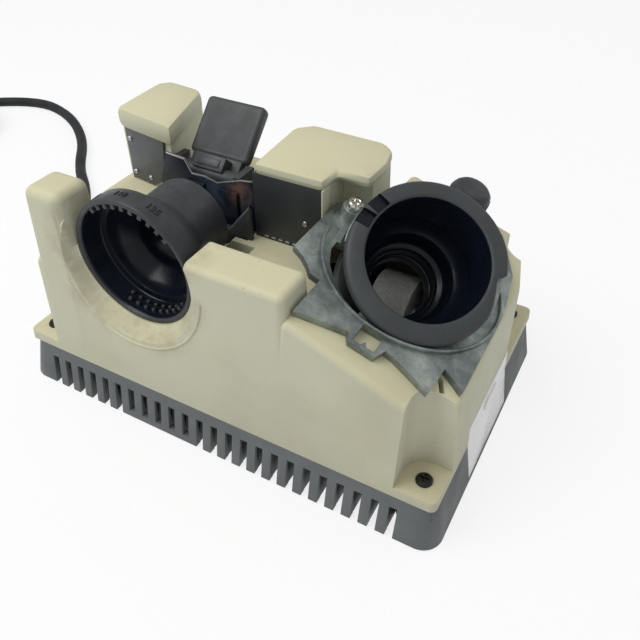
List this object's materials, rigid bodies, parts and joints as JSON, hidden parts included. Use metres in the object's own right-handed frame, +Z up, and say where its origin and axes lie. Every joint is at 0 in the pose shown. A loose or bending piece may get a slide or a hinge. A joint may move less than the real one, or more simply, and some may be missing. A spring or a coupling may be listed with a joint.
{
  "type": "drill bit sharpener",
  "caption": "Bench drill bit sharpener: vented base, moulded housing, alignment dial with lever, tilted sharpening tube on an angle bracket, motor, grinding wheel and mains cord",
  "frame": {"origin": "centre of the base outline on the surface that the sharpener stands on", "axes": "X to the right along the front, Y to the back, Z up"},
  "size_m": [0.8634, 0.3081, 0.1509],
  "materials": {
    "base_tray": "moulded grey plastic",
    "top_housing": "aged cream plastic, fine texture",
    "rubber_feet": "matt",
    "housing_screws": "blackened steel",
    "left_panel": "grey plastic",
    "right_panel": "grey plastic",
    "alignment_dial": "black plastic",
    "pawl_guide": "black plastic",
    "left_pawl": "blued sheet steel",
    "right_pawl": "blued sheet steel",
    "lever_bracket": "black plastic",
    "lever_pin": "bright steel",
    "pawl_lever": "black plastic",
    "angle_bracket": "die-cast zinc alloy, as cast",
    "follower_pin": "bright nickel plate",
    "sharpening_tube": "black plastic",
    "tube_clip": "spring steel",
    "clamp_stud": "bright steel",
    "lock_knob": "ribbed black plastic",
    "motor_can": "plated steel",
    "motor_mount": "grey plastic",
    "motor_end_caps": "black plastic",
    "motor_bearings": "sintered bronze",
    "motor_shaft": "ground steel",
    "rotor": "laminated iron with varnished windings",
    "cooling_fan": "black plastic",
    "grinding_wheel": "steel sleeve with plated diamond grit",
    "wheel_screw": "bright steel",
    "access_cover": "translucent clear plastic",
    "switch_frame": "black plastic",
    "switch_rocker": "black plastic",
    "strain_relief": "flexible black",
    "mains_cord": "matt black jacket",
    "cord_coil": "matt black jacket",
    "cord_tail": "matt black jacket",
    "cord_tie": "green plastic strap",
    "plug_body": "moulded black",
    "plug_pins": "bare brass"
  },
  "bodies": {
    "housing": {"base_tray": "base_tray", "top_housing": "top_housing", "rubber_feet": "rubber_feet", "housing_screws": "housing_screws", "left_panel": "left_panel", "right_panel": "right_panel", "pawl_guide": "pawl_guide", "lever_bracket": "lever_bracket", "lever_pin": "lever_pin", "motor_can": "motor_can", "motor_mount": "motor_mount", "motor_end_caps": "motor_end_caps", "motor_bearings": "motor_bearings", "clamp_stud": "clamp_stud", "switch_frame": "switch_frame", "strain_relief": "strain_relief", "mains_cord": "mains_cord", "cord_coil": "cord_coil", "cord_tail": "cord_tail", "cord_tie": "cord_tie", "plug_body": "plug_body", "plug_pins": "plug_pins"},
    "spindle": {"motor_shaft": "motor_shaft", "rotor": "rotor", "cooling_fan": "cooling_fan", "grinding_wheel": "grinding_wheel", "wheel_screw": "wheel_screw"},
    "swivel": {"angle_bracket": "angle_bracket", "follower_pin": "follower_pin"},
    "tube": {"sharpening_tube": "sharpening_tube", "tube_clip": "tube_clip"},
    "knob": {"lock_knob": "lock_knob"},
    "dial": {"alignment_dial": "alignment_dial"},
    "lever": {"pawl_lever": "pawl_lever"},
    "pawl_a": {"left_pawl": "left_pawl"},
    "pawl_b": {"right_pawl": "right_pawl"},
    "rocker": {"switch_rocker": "switch_rocker"},
    "cover": {"access_cover": "access_cover"}
  },
  "joints": [
    {"name": "spindle_spin", "type": "hinge", "parent": "housing", "child": "spindle", "pos_m": [0, 0.028, 0.0485], "axis": [1, 0, 0], "continuous": true},
    {"name": "angle_swivel", "type": "hinge", "parent": "housing", "child": "swivel", "pos_m": [0.077, 0.0166, 0.10666], "axis": [0.342, 0, 0.9397], "range_deg": [0, 12.5]},
    {"name": "tube_turn", "type": "hinge", "parent": "swivel", "child": "tube", "pos_m": [0.0949, -0.0179, 0.1257], "axis": [0.4292, -0.4603, 0.7771], "continuous": true},
    {"name": "knob_turn", "type": "hinge", "parent": "housing", "child": "knob", "pos_m": [0.08358, 0.0646, 0.10427], "axis": [0.342, 0, 0.9397], "range_deg": [0, 270]},
    {"name": "dial_turn", "type": "hinge", "parent": "housing", "child": "dial", "pos_m": [-0.046, -0.04, 0.108], "axis": [0, 1, 0], "range_deg": [-30, 30]},
    {"name": "lever_press", "type": "hinge", "parent": "housing", "child": "lever", "pos_m": [-0.0565, 0.012, 0.117], "axis": [1, 0, 0], "range_deg": [-20, 0], "stiffness_Nm_per_rad": 0.3, "springref_deg": 8.59},
    {"name": "left_pawl_slide", "type": "slide", "parent": "housing", "child": "pawl_a", "axis": [1, 0, 0], "range_m": [-0.004, 0]},
    {"name": "right_pawl_slide", "type": "slide", "parent": "housing", "child": "pawl_b", "axis": [1, 0, 0], "range_m": [0, 0.004]},
    {"name": "rocker_tilt", "type": "hinge", "parent": "housing", "child": "rocker", "pos_m": [-0.06, 0.081, 0.06], "axis": [1, 0, 0], "range_deg": [0, 16]},
    {"name": "cover_pull", "type": "slide", "parent": "housing", "child": "cover", "axis": [1, 0, 0], "range_m": [0, 0.05]}
  ],
  "couplings": [
    {"joint": "left_pawl_slide", "follows": "lever_press", "m_per_rad": 0.0114},
    {"joint": "right_pawl_slide", "follows": "lever_press", "m_per_rad": -0.0114}
  ]
}
